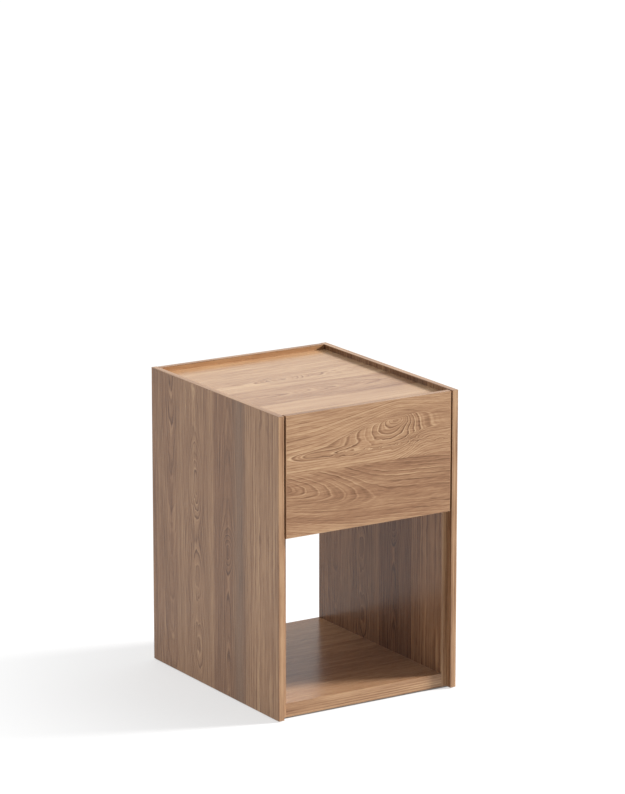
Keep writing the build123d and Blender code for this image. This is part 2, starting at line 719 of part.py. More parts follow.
def carcass_nodes():
    nodes = {}
    for name, side in SIDES.items():
        nodes[f"{name}_outer_side"] = outer_side(side)
        nodes[f"{name}_inner_side"] = inner_side(side)
        for band, solid in outer_side_bands(side).items():
            nodes[f"{name}_outer_{band}"] = solid
        for band, solid in inner_side_bands(side).items():
            nodes[f"{name}_inner_{band}"] = solid
    front_edge = (CARCASS_FRONT, CARCASS_FRONT + EDGE_BAND)
    back_edge = (BACK_INSIDE - EDGE_BAND, BACK_INSIDE)
    nodes["top_panel"] = top_panel()
    top_span = (TOP_UNDERSIDE, TRAY_FLOOR)
    floor_span = (BODY_BOTTOM, NICHE_FLOOR)
    divider_span = (DIVIDER_BOTTOM, DIVIDER_TOP)
    nodes["top_panel_front_band"] = cross_band(OUTER_INSIDE, front_edge, top_span, -1)
    nodes["niche_floor"] = level_board(*floor_span, BACK_INSIDE - EDGE_BAND)
    nodes["niche_floor_front_band"] = cross_band(INNER_FACE, front_edge, floor_span, -1)
    nodes["niche_floor_back_band"] = cross_band(INNER_FACE, back_edge, floor_span, 1)
    nodes["drawer_divider"] = level_board(*divider_span, BACK_INSIDE) - back_screw_bores()
    nodes["drawer_divider_front_band"] = cross_band(INNER_FACE, front_edge, divider_span, -1)
    nodes["back_panel"] = back_panel()
    nodes.update(back_panel_bands())
    return nodes


def fitting_nodes():
    nodes = {}
    level = [dowel(*line, DOWEL_RADIUS) for line in level_dowel_lines()]
    upright = [dowel(*line, SLIM_DOWEL_RADIUS) for line in upright_dowel_lines()]
    glide_places = [(side, row) for side in SIDES.values() for row in GLIDE_ROWS]
    nodes["cam_housings"] = group(cam_housing(joint) for joint in cam_axes())
    nodes["cam_bolts"] = group(cam_bolt(joint) for joint in cam_axes())
    nodes["carcass_dowels"] = group(level + upright)
    screws = [countersunk_screw(place, **BACK_SCREW) for place in back_screw_places()]
    nodes["back_panel_screws"] = group(screws)
    nodes["back_screw_caps"] = group(back_screw_cap(place) for place in back_screw_places())
    nodes["glides"] = group(glide(*place) for place in glide_places)
    nodes["glide_nails"] = group(glide_nail(*place) for place in glide_places)
    return nodes


def slide_nodes():
    nodes = {}
    outer_row = (OUTER_BALL_U, OUTER_BALL_V)
    inner_row = (INNER_BALL_U, INNER_BALL_V)
    outer_cage = (OUTER_CAGE_WEB, OUTER_CAGE_END)
    inner_cage = (INNER_CAGE_WEB, INNER_CAGE_END)
    cabinet_screws = []
    drawer_screws = []
    for name, side in SIDES.items():
        nodes[f"{name}_slide_cabinet_member"] = cabinet_member(side)
        nodes[f"{name}_slide_intermediate_member"] = intermediate_member(side)
        nodes[f"{name}_slide_drawer_member"] = drawer_member(side)
        nodes[f"{name}_outer_ball_cage"] = ball_cage(side, *outer_row, *outer_cage)
        nodes[f"{name}_inner_ball_cage"] = ball_cage(side, *inner_row, *inner_cage)
        nodes[f"{name}_outer_balls"] = balls(side, *outer_row)
        nodes[f"{name}_inner_balls"] = balls(side, *inner_row)
        cabinet_screws += [cabinet_screw(side, row, countersunk_screw) for row in CABINET_SCREW_ROWS]
        drawer_screws += [drawer_member_screw(side, row) for row in DRAWER_SCREW_ROWS]
    nodes["cabinet_member_screws"] = group(cabinet_screws)
    nodes["drawer_member_screws"] = group(drawer_screws)
    return nodes


def drawer_nodes():
    nodes = {"drawer_front": drawer_front(), "drawer_bottom": box_bottom()}
    for name, band in drawer_front_bands().items():
        nodes[f"drawer_front_{name}_band"] = band
    for name, side in SIDES.items():
        nodes[f"drawer_box_{name}_side"] = box_side(side)
    nodes["drawer_box_front"] = box_cross_board(BOX_START) - front_screw_bores()
    nodes["drawer_box_back"] = box_cross_board(BOX_END - BOX_BOARD)
    bumpers = [drawer_bumper(side, height) for side in SIDES.values() for height in BUMPER_HEIGHTS]
    nodes["drawer_front_screws"] = group(front_screw(place) for place in front_screw_places())
    nodes["drawer_bumpers"] = group(bumpers)
    nodes["drawer_box_dowels"] = group(dowel(*line, SLIM_DOWEL_RADIUS) for line in box_dowel_lines())
    return nodes


def write_parts():
    os.makedirs("parts", exist_ok=True)
    nodes = {**carcass_nodes(), **fitting_nodes(), **slide_nodes(), **drawer_nodes()}
    for name, shape in nodes.items():
        export_step(shape, f"parts/{name}.step")
    print(len(nodes), "nodes written")


write_parts()
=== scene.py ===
"""Looks for a bedside table: veneered carcass with a tray top, one drawer and an open niche.

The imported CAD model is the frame.  Every node keeps its shape and gets a procedural material.
Lengths are metres in the row frame: X to the right, Y to the back, Z up, origin on the floor.
"""

import math

import bpy
from mathutils import Matrix, Vector


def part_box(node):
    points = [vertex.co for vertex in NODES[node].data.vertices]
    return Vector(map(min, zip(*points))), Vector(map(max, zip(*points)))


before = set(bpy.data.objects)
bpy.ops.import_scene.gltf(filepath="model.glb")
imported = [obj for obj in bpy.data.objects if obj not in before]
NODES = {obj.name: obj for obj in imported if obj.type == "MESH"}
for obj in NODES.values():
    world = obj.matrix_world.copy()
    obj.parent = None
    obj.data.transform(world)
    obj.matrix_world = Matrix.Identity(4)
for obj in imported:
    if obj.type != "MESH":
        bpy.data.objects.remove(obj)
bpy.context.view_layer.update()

X, Y, Z = 0, 1, 2

# ---------------------------------------------------------------- shader arithmetic


class Num:
    """A number that varies over a surface, carried by a shader socket."""

    def __init__(self, tree, socket):
        self.tree = tree
        self.socket = socket

    def __add__(self, other):
        return calc(self.tree, "ADD", self, other)

    def __radd__(self, other):
        return calc(self.tree, "ADD", other, self)

    def __sub__(self, other):
        return calc(self.tree, "SUBTRACT", self, other)

    def __rsub__(self, other):
        return calc(self.tree, "SUBTRACT", other, self)

    def __mul__(self, other):
        return calc(self.tree, "MULTIPLY", self, other)

    def __rmul__(self, other):
        return calc(self.tree, "MULTIPLY", other, self)

    def __truediv__(self, other):
        return calc(self.tree, "DIVIDE", self, other)

    def __rtruediv__(self, other):
        return calc(self.tree, "DIVIDE", other, self)

    def __pow__(self, other):
        return calc(self.tree, "POWER", self, other)


def plug(tree, socket, value):
    """Gives a socket a number or wires a varying value to it."""
    if isinstance(value, Num):
        tree.links.new(value.socket, socket)
    else:
        socket.default_value = value


def calc(tree, operation, *values):
    node = tree.nodes.new("ShaderNodeMath")
    node.operation = operation
    for socket, value in zip(node.inputs, values):
        plug(tree, socket, value)
    return Num(tree, node.outputs[0])


def root(a):
    return calc(a.tree, "SQRT", a)


def fract(a):
    return calc(a.tree, "FRACT", a)


def absolute(a):
    return calc(a.tree, "ABSOLUTE", a)


def lower(a, b):
    return calc(a.tree, "MINIMUM", a, b)


def higher(a, b):
    return calc(a.tree, "MAXIMUM", a, b)


def bell(a, centre, width):
    """A smooth hump of height one."""
    off = (a - centre) / width
    return calc(a.tree, "EXPONENT", off * off * -1.0)


def fade(a, start, end, low=0.0, high=1.0):
    """Goes smoothly from low to high as a goes from start to end."""
    node = a.tree.nodes.new("ShaderNodeMapRange")
    node.interpolation_type = "SMOOTHSTEP"
    for socket, value in zip(node.inputs, (a, start, end, low, high)):
        plug(a.tree, socket, value)
    return Num(a.tree, node.outputs[0])


def vector(tree, a, b, c):
    node = tree.nodes.new("ShaderNodeCombineXYZ")
    for socket, value in zip(node.inputs, (a, b, c)):
        plug(tree, socket, value)
    return node.outputs[0]


def noise(tree, a, b, c, detail=2.0, rough=0.5, distort=0.0):
    """Smooth noise of about zero to one; a, b, c are already scaled to its unit size."""
    node = tree.nodes.new("ShaderNodeTexNoise")
    node.inputs["Scale"].default_value = 1.0
    node.inputs["Detail"].default_value = detail
    node.inputs["Roughness"].default_value = rough
    node.inputs["Distortion"].default_value = distort
    tree.links.new(vector(tree, a, b, c), node.inputs["Vector"])
    return Num(tree, node.outputs["Fac"])


def blend_colour(tree, share, first, second, mode="MIX"):
    """Mixes two colours, each a socket or a tuple."""
    node = tree.nodes.new("ShaderNodeMix")
    node.data_type = "RGBA"
    node.blend_type = mode
    plug(tree, node.inputs[0], share)
    first_colour = node.inputs[6]
    second_colour = node.inputs[7]
    for socket, value in ((first_colour, first), (second_colour, second)):
        if isinstance(value, tuple):
            socket.default_value = (*value, 1.0)
        else:
            tree.links.new(value, socket)
    return node.outputs[2]


def ramp(tree, share, stops):
    """A colour from a number by way of (position, colour) stops."""
    node = tree.nodes.new("ShaderNodeValToRGB")
    band = node.color_ramp
    while len(band.elements) < len(stops):
        band.elements.new(0.5)
    for element, (position, colour) in zip(band.elements, stops):
        element.position = position
        element.color = (*colour, 1.0)
    plug(tree, node.inputs[0], share)
    return node.outputs[0]


def curve(tree, a, points):
    """A number from a number by way of (position, height) points, eased between them."""
    node = tree.nodes.new("ShaderNodeValToRGB")
    band = node.color_ramp
    band.interpolation = "EASE"
    start = points[0][0]
    length = points[-1][0] - start
    while len(band.elements) < len(points):
        band.elements.new(0.5)
    for element, (position, height) in zip(band.elements, points):
        element.position = (position - start) / length
        element.color = (height, height, height, 1.0)
    plug(tree, node.inputs[0], (a - start) / length)
    return Num(tree, node.outputs[0])


def new_material(name):
    """A material with one Principled shader: (material, tree, shader)."""
    material = bpy.data.materials.new(name)
    material.use_nodes = True
    tree = material.node_tree
    return material, tree, tree.nodes["Principled BSDF"]


def place(tree):
    """The three row-frame coordinates of a surface point, carried by its piece."""
    coordinates = tree.nodes.new("ShaderNodeTexCoord")
    parts = tree.nodes.new("ShaderNodeSeparateXYZ")
    tree.links.new(coordinates.outputs["Object"], parts.inputs[0])
    return [Num(tree, socket) for socket in parts.outputs]


def relief(tree, shader, height, distance, strength=1.0):
    """Raises and lowers the surface a little through its normal."""
    bump = tree.nodes.new("ShaderNodeBump")
    bump.inputs["Strength"].default_value = strength
    bump.inputs["Distance"].default_value = distance
    plug(tree, bump.inputs["Height"], height)
    tree.links.new(bump.outputs[0], shader.inputs["Normal"])


def arris_mask(tree, radius):
    """About one on arrises and corners and zero on flats."""
    bevel = tree.nodes.new("ShaderNodeBevel")
    bevel.samples = 4
    bevel.inputs["Radius"].default_value = radius
    plain = tree.nodes.new("ShaderNodeNewGeometry")
    dot = tree.nodes.new("ShaderNodeVectorMath")
    dot.operation = "DOT_PRODUCT"
    tree.links.new(bevel.outputs[0], dot.inputs[0])
    tree.links.new(plain.outputs["Normal"], dot.inputs[1])
    return fade(1.0 - Num(tree, dot.outputs["Value"]), 0.01, 0.2)


# ---------------------------------------------------------------- veneer


class Leaf:
    """One sheet of veneer.  Its rings are distances to a pith line that wanders under the sheet.

    Past start across the grain this leaf shows.  centre and lean place the pith line across the
    grain, trail turns it a little further, depth and climb say how far below the sheet it runs,
    dips are (where along the grain, reach, change of depth), limit is where along the grain lean
    and climb stop.  pitch is the ring spacing, crowd how much closer the rings lie past the
    pith, waver how wild the figure is, tone and blush how light and how pink.  A figure is a
    function that takes the place of the pith line.  quiet lists hollows where rings hardly
    show, or stand out where the last number is negative.
    """

    def __init__(self, start, centre, depth, pitch, tone, blush, lean=0.0, climb=0.0, trail=0.0,
                 dips=(), limit=9.0, crowd=1.0, waver=1.0, figure=None, quiet=()):
        self.start = start
        self.centre = centre
        self.depth = depth
        self.pitch = pitch
        self.tone = tone
        self.blush = blush
        self.lean = lean
        self.climb = climb
        self.trail = trail
        self.dips = dips
        self.limit = limit
        self.crowd = crowd
        self.waver = waver
        self.figure = figure
        self.quiet = quiet


# Sizes along and across the grain of the slow and the quick wander of the rings.
SWAY_SIZE = (0.10, 0.03)
RIPPLE_SIZE = (0.026, 0.009)
# How far that wander moves the pith line below the sheet and across the grain.
WANDER_DEPTH = 0.010
WANDER_ASIDE = 0.006


def leaf_rings(tree, leaf, seed, u, v):
    """How many rings a point of this leaf is from the pith."""
    sway = noise(tree, u / SWAY_SIZE[0], v / SWAY_SIZE[1], seed, 1.0) - 0.5
    sway = sway * leaf.waver
    ripple = noise(tree, u / RIPPLE_SIZE[0], v / RIPPLE_SIZE[1], seed + 3.1, 1.5) - 0.5
    ripple = ripple * leaf.waver
    if leaf.figure:
        return leaf.figure(tree, u, v, sway, ripple) / leaf.pitch + seed
    run = calc(tree, "SMOOTH_MIN", u, leaf.limit, 0.05)
    depth = run * leaf.climb + leaf.depth
    for where, reach, change in leaf.dips:
        depth = depth + bell(u, where, reach) * change
    depth = depth + sway * WANDER_DEPTH + ripple * WANDER_DEPTH
    aside = v - run * leaf.lean - u * leaf.trail - leaf.centre
    aside = aside + sway * WANDER_ASIDE + ripple * WANDER_ASIDE
    aside = aside * fade(aside, -0.004, 0.006, 1.0, leaf.crowd)
    return root(aside * aside + depth * depth) / leaf.pitch + seed


def hollow(u, v, where, reach, level, spread, drop):
    """A smooth pit in a figure, longer along the grain than across it."""
    return bell(u, where, reach) * bell(v, level, spread) * drop


# The front's figure is a landscape cut level by level.  Its pits, as hollow() takes them.
EYE = (0.058, 0.022, 0.514, 0.009, 0.013)
EYE_SURROUND = (0.049, 0.046, 0.503, 0.024, 0.012)
LEFT_ARCS = (0.020, 0.075, 0.490, 0.050, 0.012)
LENS = (-0.113, 0.042, 0.4725, 0.0085, 0.0075)
LENS_TAIL = (-0.045, 0.034, 0.470, 0.0075, 0.007)
RIGHT_TIP = (0.130, 0.055, 0.478, 0.009, 0.007)
PLATEAU = 0.0215
SHORE = 0.020
# Past this height over the eye the lines run level with the drawer's top edge.
LEVEL_TOP = 0.576


def eye_and_lens(tree, u, v, sway, ripple):
    """A flame: slanting lines above, level lines below, and an eye and a lens between them."""
    unrest = fade(u, -0.10, -0.05) * bell(v, 0.470, 0.011) * 4.5 + 0.3
    u = u + ripple * unrest * 0.030
    v = v + sway * 0.004 + ripple * unrest * 0.006
    slant = calc(tree, "SMOOTH_MAX", u * 0.30 + 0.5140, u * 0.10 + 0.4935, 0.006)
    brow = calc(tree, "SMOOTH_MIN", slant, u * -0.18 + 0.5405, 0.012)
    over = v - brow
    below_brow = fade(u, -0.07, 0.0, 1.1, 2.0)
    above_brow = 0.048 / (LEVEL_TOP - brow)
    over = over * fade(over, -0.005, 0.005, below_brow, above_brow) + SHORE
    under = fade(u, 0.04, 0.13, 0.4615, 0.4900) - v
    under = under * fade(under, -0.005, 0.005, 1.5, 0.8) + SHORE
    basin = PLATEAU
    for pit in (EYE, EYE_SURROUND, LEFT_ARCS, LENS, LENS_TAIL, RIGHT_TIP):
        basin = basin - hollow(u, v, *pit)
    outer = calc(tree, "SMOOTH_MAX", over, under, 0.006)
    return calc(tree, "SMOOTH_MAX", outer, basin, 0.004)


def loudness(leaf, u, v):
    """How clearly the rings of this leaf show."""
    share = 1.0
    for quiet in leaf.quiet:
        share = share - hollow(u, v, *quiet)
    return share


def choose(v, leaves, values):
    """The value of the leaf that v falls on; leaves come in order of their start."""
    chosen = values[0]
    for leaf, value in zip(leaves[1:], values[1:]):
        beyond = calc(v.tree, "GREATER_THAN", v, leaf.start)
        chosen = beyond * value + (1.0 - beyond) * chosen
    return chosen


def fibres(tree, u, v, w, length, width, detail=2.0, rough=0.5):
    """Noise around zero, drawn out along the grain."""
    return noise(tree, u / length, v / width, w / width, detail, rough) - 0.5


def pores(tree, u, v, w, length, width, start, end):
    """One in open pores and zero between them."""
    return fade(noise(tree, u / length, v / width, w / width, 1.0), start, end)


PALE = (0.560, 0.370, 0.215)
SAND = (0.445, 0.265, 0.145)
BROWN = (0.345, 0.190, 0.100)
DUSK = (0.240, 0.122, 0.060)
BARK = (0.130, 0.060, 0.030)
PINK = (0.420, 0.215, 0.135)
SLATE = (0.215, 0.150, 0.105)
# Amber of the painted warm bounce light near the back rim.
BOUNCE_AMBER = (0.560, 0.260, 0.095)
WOOD_TONES = [(0.0, BARK), (0.26, DUSK), (0.5, BROWN), (0.72, SAND), (1.0, PALE)]
BAND_TONES = [(0.0, BARK), (0.25, DUSK), (0.48, BROWN), (0.68, SAND), (1.0, PALE)]

# Refraction of the satin lacquer, which sets how much it shines.
LACQUER = 1.40
SIDE_LACQUER = 1.36
NICHE_WALL_LACQUER = 1.32
NICHE_FLOOR_LACQUER = 1.35

# A ring darkens to its late wood and starts again with a light line; places in shares of a ring.
LATE_START = 0.56
LATE_PEAK = 0.92
EARLY_PEAK = 0.07
EARLY_END = 0.24


def ring_lines(tree, rings, u):
    """The light and dark lines of the rings, and their late wood alone."""
    ring = fract(rings)
    late = fade(ring, LATE_START, LATE_PEAK) * fade(ring, LATE_PEAK, 1.0, 1.0, 0.0)
    early = fade(ring, 0.0, EARLY_PEAK) * fade(ring, EARLY_PEAK, EARLY_END, 1.0, 0.0)
    vigour = noise(tree, rings / 1.3, u / 0.12, 4.0, 1.0)
    dark = fade(vigour, 0.35, 0.65, -0.08, -0.30)
    light = fade(vigour, 0.35, 0.65, 0.08, 0.26)
    return late * dark + early * light, late


def veneer(name, along, across, leaves, tones, stains_and_bounce=(), boldness=1.0, contrast=1.0,
           length=0.06, thread=0.0022, grit=1.0, ior=LACQUER):
    """Satin lacquered veneer made of several leaves, with rings, streaks, fibres and pores.

    tones are (place across the grain, lightness), stains are (place, width, share, colour): real
    streaks in the wood, and painted warm bounce light.
    boldness is for the rings, contrast for the wide bands, grit for threads of this length and
    thickness.
    """
    material, tree, shader = new_material(name)
    here = place(tree)
    u = here[along]
    v = here[across]
    w = here[X + Y + Z - along - across]
    counts = [leaf_rings(tree, leaf, 7.3 * i, u, v) for i, leaf in enumerate(leaves)]
    rings = choose(v, leaves, counts)
    tone = choose(v, leaves, [leaf.tone for leaf in leaves])
    blush = choose(v, leaves, [leaf.blush for leaf in leaves])
    loud = higher(choose(v, leaves, [loudness(leaf, u, v) for leaf in leaves]), 0.0)
    figure, late = ring_lines(tree, rings, u)
    broad = noise(tree, rings / 1.1, u / 0.45, 9.0, 1.0) - 0.5
    streak = noise(tree, rings / 0.30, u / 0.16, 15.0, 2.0, 0.6) - 0.5
    cloud = noise(tree, u / 0.16, v / 0.03, 2.0, 2.0) - 0.5
    strand = fibres(tree, u, v, w, 0.22, 0.0065, 2.0, 0.6)
    bands = broad * 0.55 + streak * 0.80 + cloud * 0.35 + strand * 0.30
    bands = bands + (curve(tree, v, tones) - 0.5) * 0.9
    comb = fibres(tree, u, v, w, length, thread, 3.0, 0.75)
    dash = fibres(tree, u, v, w, length / 4.0, 0.0014, 1.0)
    fibre = fibres(tree, u, v, w, 0.025, 0.0009, 2.0, 0.6)
    pore = pores(tree, u, v, w, 0.0045, 0.00042, 0.60, 0.72)
    grain = comb * grit + dash * grit * 0.5 + fibre * 0.40 - pore * 0.12
    shade = tone + figure * loud * boldness + bands * contrast + grain
    colour = blushed(tree, ramp(tree, shade, WOOD_TONES), blush, u, v)
    # Streaks laid over the colour: real stains in the wood, and painted warm bounce light.
    for centre, width, weight, stain_and_bounce_colour in stains_and_bounce:
        share = bell(v + streak * 0.01, centre, width) * weight
        colour = blend_colour(tree, share, colour, stain_and_bounce_colour)
    tree.links.new(colour, shader.inputs["Base Color"])
    plug(tree, shader.inputs["Roughness"], 0.22 + pore * 0.20 + fibre * 0.12 + comb * 0.08)
    shader.inputs["IOR"].default_value = ior
    relief(tree, shader, fibre * 0.5 - pore * 0.8 - late * 0.2, 0.00004)
    return material


def blushed(tree, colour, blush, u, v):
    """Turns wood pink in long soft patches, more of them as blush goes to one."""
    flush = noise(tree, u / 0.25, v / 0.02, 6.0, 2.0) - 0.5
    warm = lower(higher(blush + flush * 2.4, 0.0), 1.0)
    pink = blend_colour(tree, 0.65, colour, PINK, "MULTIPLY")
    return blend_colour(tree, warm * 0.45, colour, pink)


# A leaf that starts here shows from the board's first edge.
FIRST = -9.0
FRONT_JOINT = 0.4415


def front_veneer():
    """Two leaves: a long cathedral below, an eye and a lens above."""
    low_right = (0.10, 0.08, 0.374, 0.014, 1.0)
    low_left = (-0.08, 0.14, 0.362, 0.018, 0.6)
    cathedral = (-0.06, 0.13, 0.400, 0.035, 0.28)
    low = Leaf(0.0, 0.381, 0.0360, 0.0045, 0.575, 0.75, lean=-0.14, climb=0.175, trail=-0.08,
               limit=0.01, crowd=0.82, waver=0.22, quiet=[low_right, low_left, cathedral])
    top_left = (-0.10, 0.10, 0.540, 0.030, 0.6)
    top_right = (0.13, 0.06, 0.540, 0.020, 0.5)
    round_eye = (0.045, 0.070, 0.500, 0.022, -0.8)
    round_lens = (-0.10, 0.07, 0.472, 0.012, -0.9)
    below_eye = (0.05, 0.10, 0.469, 0.010, -0.7)
    right_of_eye = (0.135, 0.025, 0.518, 0.020, 0.6)
    high = Leaf(FRONT_JOINT, 0.0, 0.0, 0.0034, 0.62, 0.2, waver=0.6, figure=eye_and_lens,
                quiet=[top_left, top_right, round_eye, round_lens, below_eye, right_of_eye])
    tones = [(0.33, 0.70), (0.342, 0.58), (0.356, 0.46), (0.384, 0.44), (0.40, 0.49),
             (0.438, 0.46), (0.446, 0.68), (0.456, 0.56), (0.47, 0.50), (0.51, 0.54),
             (0.55, 0.57)]
    return veneer("veneer_front", X, Z, [low, high], tones,
                  boldness=1.25, contrast=0.9, grit=0.8)


def upright_veneer(name, shift, tone=0.0, greyness=0.42, ior=SIDE_LACQUER):
    """Four upright leaves; shift slides them sideways for another cut of the same wood."""
    # Painted shade in part: these leaves are darker than the front's and the top's, partly other
    # wood and partly to stand in for the shade on the sides.
    front = Leaf(FIRST, -0.17 + shift, 0.070, 0.0040, 0.47 + tone, 0.0, waver=0.2)
    heart = Leaf(-0.106 + shift, -0.048 + shift, 0.008, 0.0050, 0.39 + tone, 0.8, climb=0.055,
                 dips=[(0.27, 0.03, -0.018)], waver=0.25,
                 quiet=[(0.46, 0.12, -0.05, 0.05, 0.8)])
    dips = [(0.371, 0.060, -0.024), (0.20, 0.05, -0.012), (0.07, 0.05, -0.012)]
    ellipse = (0.371, 0.055, 0.064 + shift, 0.018, -0.5)
    zigzag = (0.27, 0.04, 0.055 + shift, 0.020, -0.4)
    near_top = (0.47, 0.03, 0.055 + shift, 0.03, 0.4)
    middle = Leaf(0.0 + shift, 0.052 + shift, 0.026, 0.0046, 0.45 + tone, 0.3, lean=0.03,
                  dips=dips, waver=0.5, quiet=[ellipse, zigzag, near_top])
    back = Leaf(0.130 + shift, 0.149 + shift, 0.050, 0.0046, 0.41 + tone, 0.6, climb=-0.06,
                waver=0.3, quiet=[(0.20, 0.12, 0.15 + shift, 0.06, 0.6)])
    tones = [(-0.22, 0.56), (-0.16, 0.60), (-0.112, 0.58), (-0.10, 0.44), (-0.06, 0.42),
             (-0.004, 0.46), (0.004, 0.64), (0.018, 0.60), (0.024, 0.50), (0.11, 0.54),
             (0.14, 0.50), (0.19, 0.46), (0.22, 0.5)]
    grey = (-0.086 + shift, 0.017, greyness, SLATE)
    return veneer(name, Z, Y, [front, heart, middle, back], tones, [grey],
                  boldness=1.1, contrast=0.6, length=0.20, thread=0.0030, ior=ior)


def level_veneer(name, shift, tone=0.0, boldness=1.4, contrast=1.2, ior=LACQUER):
    """Boards with the grain from side to side: one leaf in front, one behind."""
    # Painted light in part: these leaves are far lighter than the sides' and the front's, partly
    # other wood and partly to stand in for the light on the top.
    near = Leaf(FIRST, -0.05 + shift, 0.02, 0.0060, 0.85 + tone, 0.9, lean=0.02, climb=0.12,
                waver=0.5)
    far = Leaf(-0.002 + shift, 0.045 + shift, 0.028, 0.0042, 0.82 + tone, 0.4, lean=0.03,
               dips=[(-0.015, 0.045, -0.022)], waver=0.5,
               quiet=[(-0.015, 0.07, 0.045 + shift, 0.020, -1.2)])
    tones = [(-0.22, 0.52), (-0.18, 0.62), (-0.16, 0.78), (-0.115, 0.74), (-0.10, 0.34),
             (-0.05, 0.46), (-0.006, 0.40), (0.002, 0.66), (0.010, 0.64), (0.02, 0.52),
             (0.12, 0.54), (0.22, 0.56)]
    # Painted warm bounce light: an amber streak near the back edge, on the top just in front of
    # the back rim.
    painted_bounce_streak = (0.198, 0.022, 0.2, BOUNCE_AMBER)
    return veneer(name, X, Y, [near, far], tones, [painted_bounce_streak],
                  boldness=boldness, contrast=contrast, length=0.10, thread=0.0036, ior=ior)


def back_veneer():
    """The upright back panel, its grain level; its upper leaf is lighter and pinker, partly
    another leaf and partly painted light on the rim, with painted warm bounce light as an amber
    streak under its top edge.
    """
    low = Leaf(0.0, 0.40, 0.03, 0.0062, 0.58, 0.4, climb=0.12, waver=0.6)
    # The upper leaf is lighter and pinker than the lower: partly another leaf, partly painted
    # light on the rim above the top.
    high = Leaf(0.50, 0.515, 0.03, 0.0050, 0.86, 1.0, climb=0.05, waver=0.5)
    tones = [(0.34, 0.5), (0.42, 0.52), (0.50, 0.5), (0.53, 0.54), (0.55, 0.56)]
    # Painted warm bounce light: an amber streak just under the top edge.
    return veneer("veneer_back", X, Z, [low, high], tones, [(0.543, 0.010, 0.3, BOUNCE_AMBER)])


def edge_band(name, along, tone=0.50):
    """Thin wood strip with long streaks down its length and arrises a little paler and glossier.
    """
    material, tree, shader = new_material(name)
    here = place(tree)
    u = here[along]
    v = here[(along + 1) % 3]
    w = here[(along + 2) % 3]
    streak = fibres(tree, u, v, w, 0.40, 0.0022, 2.0, 0.6)
    patch = fibres(tree, u, v, w, 0.12, 0.02)
    fibre = fibres(tree, u, v, w, 0.02, 0.0006)
    pore = pores(tree, u, v, w, 0.004, 0.0004, 0.62, 0.74)
    shade = tone + streak * 1.45 + patch * 0.65 + fibre * 0.40 - pore * 0.12
    edge = arris_mask(tree, 0.0008)
    colour = blend_colour(tree, edge * 0.25, ramp(tree, shade, BAND_TONES), PALE)
    tree.links.new(colour, shader.inputs["Base Color"])
    plug(tree, shader.inputs["Roughness"], 0.28 + pore * 0.15 + fibre * 0.1 - edge * 0.06)
    shader.inputs["IOR"].default_value = LACQUER
    relief(tree, shader, fibre * 0.5 - pore * 0.8, 0.00005)
    return material


# ---------------------------------------------------------------- plywood, metal, plastic


BIRCH = (0.640, 0.470, 0.300)
BIRCH_DARK = (0.480, 0.320, 0.185)
GLUE = (0.20, 0.12, 0.07)
BEECH = (0.66, 0.49, 0.31)
BEECH_DARK = (0.33, 0.20, 0.11)
ZINC_YELLOW = (0.60, 0.58, 0.48)
ZINC_DARK = (0.36, 0.36, 0.37)
ZINC_LIGHT = (0.72, 0.72, 0.73)


def plywood(name, along, thick, middle, ply):
    """Lacquered birch plywood; its glue lines show on edges cut across the thickness."""
    material, tree, shader = new_material(name)
    here = place(tree)
    u = here[along]
    t = here[thick]
    v = here[X + Y + Z - along - thick]
    layer = (t - middle) / ply + 0.5
    turn = fract(layer * 0.5)
    crossed = calc(tree, "GREATER_THAN", turn, 0.5)
    glue = bell(fract(layer + 0.5), 0.5, 0.09)
    fibre = fibres(tree, u, v, t, 0.03, 0.0011, 2.0, 0.6)
    figure = noise(tree, u / 0.18, v / 0.012, t / 0.05, 3.0, 0.55, 0.4) - 0.5
    fleck = pores(tree, u, v, t, 0.006, 0.0007, 0.64, 0.76)
    shade = 0.60 + figure * 0.7 + fibre * 0.35 - fleck * 0.2 - crossed * 0.16 - glue * 0.5
    colour = ramp(tree, shade, [(0.0, GLUE), (0.4, BIRCH_DARK), (0.9, BIRCH)])
    edge = arris_mask(tree, 0.0008)
    colour = blend_colour(tree, edge * 0.2, colour, BIRCH)
    tree.links.new(colour, shader.inputs["Base Color"])
    plug(tree, shader.inputs["Roughness"], 0.42 + fibre * 0.12 + fleck * 0.1)
    relief(tree, shader, fibre - fleck * 0.5, 0.00006)
    return material


def raw_beech():
    """Dowel wood: pale, dry, with short ray flecks."""
    material, tree, shader = new_material("dowel_wood")
    x, y, z = place(tree)
    grain = fibres(tree, x, y, z, 0.006, 0.001, 3.0, 0.6)
    fleck = pores(tree, x, y, z, 0.002, 0.0004, 0.6, 0.72)
    shade = 0.6 + grain * 0.9 - fleck * 0.2
    colour = ramp(tree, shade, [(0.0, BEECH_DARK), (1.0, BEECH)])
    tree.links.new(colour, shader.inputs["Base Color"])
    plug(tree, shader.inputs["Roughness"], 0.7 + grain * 0.2)
    relief(tree, shader, grain - fleck, 0.0001)
    return material


def plated_steel(name, along, tint, rough, marks):
    """Zinc-plated pressed steel: rolling lines, faint blotches and brighter arrises."""
    material, tree, shader = new_material(name)
    here = place(tree)
    u = here[along]
    v = here[(along + 1) % 3]
    w = here[(along + 2) % 3]
    lines = fibres(tree, u, v, w, 0.05, 0.0004, 2.0, 0.6)
    blotch = fibres(tree, u, v, w, 0.012, 0.008, 3.0, 0.6)
    speck = fade(noise(tree, u / 0.0012, v / 0.0012, w / 0.0012, 1.0), 0.6, 0.75)
    edge = arris_mask(tree, 0.0006)
    dark = tuple(c * 0.62 for c in tint)
    light = tuple(min(1.0, c * 1.18) for c in tint)
    shade = 0.5 + lines * marks + blotch * 0.5 + edge * 0.2
    colour = ramp(tree, shade, [(0.0, dark), (0.5, tint), (1.0, light)])
    colour = blend_colour(tree, fade(blotch, 0.02, 0.25) * 0.25, colour, ZINC_YELLOW)
    tree.links.new(colour, shader.inputs["Base Color"])
    shader.inputs["Metallic"].default_value = 1.0
    plug(tree, shader.inputs["Roughness"], rough + lines * 0.2 + blotch * 0.2 + speck * 0.08)
    relief(tree, shader, lines * 0.6 + speck * 0.3, 0.00003)
    return material


